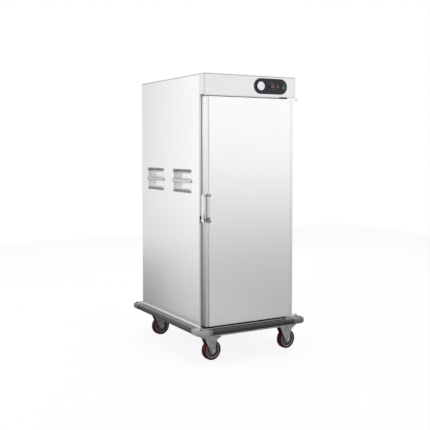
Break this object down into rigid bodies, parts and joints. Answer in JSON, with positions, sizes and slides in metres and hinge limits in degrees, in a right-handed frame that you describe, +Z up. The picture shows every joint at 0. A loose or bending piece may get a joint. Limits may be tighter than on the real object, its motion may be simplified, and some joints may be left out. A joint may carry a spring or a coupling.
{
  "type": "heated food holding cabinet cart",
  "caption": "Tall stainless heated holding cabinet on castors: single hinged door with side latch, control head, recessed side grips and a bumper all round the base.",
  "frame": {"origin": "on the floor under the middle of the bumper's outline", "axes": "+X to the right as seen from the front, +Y towards the back, +Z up"},
  "size_m": [0.806, 1.022, 1.78],
  "materials": {
    "stainless": "bright satin stainless sheet",
    "stainless_inside": "plain mill-finish stainless sheet",
    "zinc_steel": "zinc-plated pressed steel",
    "bright_steel": "polished hardware",
    "bumper_grey": "dark grey extruded vinyl",
    "corner_grey": "dark grey moulded rubber",
    "black_plastic": "fine satin black",
    "gasket_rubber": "matt black silicone",
    "white_dial": "matt white",
    "dial_red": "satin red",
    "dial_glass": "clear",
    "amber_lens": "clear-coated amber",
    "green_rocker": "green, glossy",
    "red_tyre": "dark red polyurethane tread",
    "charcoal_core": "charcoal moulded wheel core",
    "mineral_wool": "pressed mineral wool",
    "element_steel": "heat-darkened sheath"
  },
  "bodies": {
    "cabinet": {"back_panel": "stainless", "bumper_corners": "corner_grey", "bumper_rails": "bumper_grey", "cable_gland": "black_plastic", "castor_bolts": "zinc_steel", "castor_plates": "zinc_steel", "chassis_frame": "zinc_steel", "control_panel": "black_plastic", "door_buffer": "gasket_rubber", "fan_cover": "stainless_inside", "fan_motor": "zinc_steel", "fixed_hinges": "bright_steel", "floor_pan": "stainless", "front_frame": "stainless", "grip_bars": "bright_steel", "grip_pans": "stainless", "head_fascia": "stainless", "heating_element": "element_steel", "indicator_lamp": "amber_lens", "inner_liner": "stainless_inside", "pan_stand": "stainless_inside", "rack_uprights": "stainless_inside", "side_panels": "stainless", "strike_bracket": "bright_steel", "switch_body": "black_plastic", "thermometer_case": "bright_steel", "thermometer_dial": "white_dial", "thermometer_glass": "dial_glass", "thermostat_body": "black_plastic", "top_panel": "stainless", "tray_rails": "stainless_inside", "wall_insulation": "mineral_wool", "water_pan": "stainless_inside"},
    "door": {"door_skin": "stainless", "door_insulation": "mineral_wool", "door_liner": "stainless_inside", "door_gasket": "gasket_rubber", "hinge_arms": "bright_steel", "latch_body": "bright_steel", "latch_pins": "bright_steel"},
    "latch": {"latch_lever": "bright_steel"},
    "strike": {"strike_roller": "black_plastic"},
    "knob": {"thermostat_knob": "black_plastic"},
    "rocker": {"switch_rocker": "green_rocker"},
    "needle": {"thermometer_needle": "dial_red"},
    "fan": {"fan_wheel": "zinc_steel"},
    "swivel_fl": {"castor_fork_fl": "zinc_steel"},
    "wheel_fl": {"castor_wheel_fl": "charcoal_core", "castor_tyre_fl": "red_tyre"},
    "swivel_fr": {"castor_fork_fr": "zinc_steel"},
    "wheel_fr": {"castor_wheel_fr": "charcoal_core", "castor_tyre_fr": "red_tyre"},
    "swivel_rl": {"castor_fork_rl": "zinc_steel"},
    "wheel_rl": {"castor_wheel_rl": "charcoal_core", "castor_tyre_rl": "red_tyre"},
    "swivel_rr": {"castor_fork_rr": "zinc_steel"},
    "wheel_rr": {"castor_wheel_rr": "charcoal_core", "castor_tyre_rr": "red_tyre"},
    "pedal_fl": {"brake_pedal_fl": "zinc_steel"},
    "pedal_fr": {"brake_pedal_fr": "zinc_steel"}
  },
  "joints": [
    {"name": "door_hinge", "type": "hinge", "parent": "cabinet", "child": "door", "pos_m": [0.356, -0.447, 0.93], "axis": [0, 0, 1], "range_deg": [0, 260]},
    {"name": "latch_pull", "type": "hinge", "parent": "door", "child": "latch", "pos_m": [-0.309, -0.476, 0.961], "axis": [0, 0, 1], "range_deg": [0, 25], "stiffness_Nm_per_rad": 1, "springref_deg": -11.46},
    {"name": "strike_roller_spin", "type": "hinge", "parent": "cabinet", "child": "strike", "pos_m": [-0.33, -0.415, 0.893], "axis": [0, 0, 1], "continuous": true},
    {"name": "knob_turn", "type": "hinge", "parent": "cabinet", "child": "knob", "pos_m": [0.145, -0.475, 1.716], "axis": [0, -1, 0], "range_deg": [-270, 0]},
    {"name": "rocker_press", "type": "hinge", "parent": "cabinet", "child": "rocker", "pos_m": [0.237, -0.463, 1.716], "axis": [-1, 0, 0], "range_deg": [0, 16]},
    {"name": "needle_turn", "type": "hinge", "parent": "cabinet", "child": "needle", "pos_m": [0.066, -0.465, 1.716], "axis": [0, -1, 0], "range_deg": [-240, 0]},
    {"name": "fan_spin", "type": "hinge", "parent": "cabinet", "child": "fan", "pos_m": [0, 0.38, 0.86], "axis": [0, -1, 0], "continuous": true},
    {"name": "swivel_fl", "type": "hinge", "parent": "cabinet", "child": "swivel_fl", "pos_m": [-0.284, -0.39, 0.149], "axis": [0, 0, 1], "continuous": true},
    {"name": "wheel_fl", "type": "hinge", "parent": "swivel_fl", "child": "wheel_fl", "pos_m": [-0.24809, -0.38749, 0.0625], "axis": [-0.0698, 0.9976, 0], "continuous": true},
    {"name": "swivel_fr", "type": "hinge", "parent": "cabinet", "child": "swivel_fr", "pos_m": [0.284, -0.39, 0.149], "axis": [0, 0, 1], "continuous": true},
    {"name": "wheel_fr", "type": "hinge", "parent": "swivel_fr", "child": "wheel_fr", "pos_m": [0.31991, -0.38749, 0.0625], "axis": [-0.0698, 0.9976, 0], "continuous": true},
    {"name": "swivel_rl", "type": "hinge", "parent": "cabinet", "child": "swivel_rl", "pos_m": [-0.284, 0.35, 0.149], "axis": [0, 0, 1], "continuous": true},
    {"name": "wheel_rl", "type": "hinge", "parent": "swivel_rl", "child": "wheel_rl", "pos_m": [-0.24809, 0.35251, 0.0625], "axis": [-0.0698, 0.9976, 0], "continuous": true},
    {"name": "swivel_rr", "type": "hinge", "parent": "cabinet", "child": "swivel_rr", "pos_m": [0.284, 0.35, 0.149], "axis": [0, 0, 1], "continuous": true},
    {"name": "wheel_rr", "type": "hinge", "parent": "swivel_rr", "child": "wheel_rr", "pos_m": [0.31991, 0.35251, 0.0625], "axis": [-0.0698, 0.9976, 0], "continuous": true},
    {"name": "brake_fl", "type": "hinge", "parent": "swivel_fl", "child": "pedal_fl", "pos_m": [-0.22415, -0.38581, 0.134], "axis": [-0.0698, 0.9976, 0], "range_deg": [0, 18]},
    {"name": "brake_fr", "type": "hinge", "parent": "swivel_fr", "child": "pedal_fr", "pos_m": [0.34385, -0.38581, 0.134], "axis": [-0.0698, 0.9976, 0], "range_deg": [0, 18]}
  ]
}
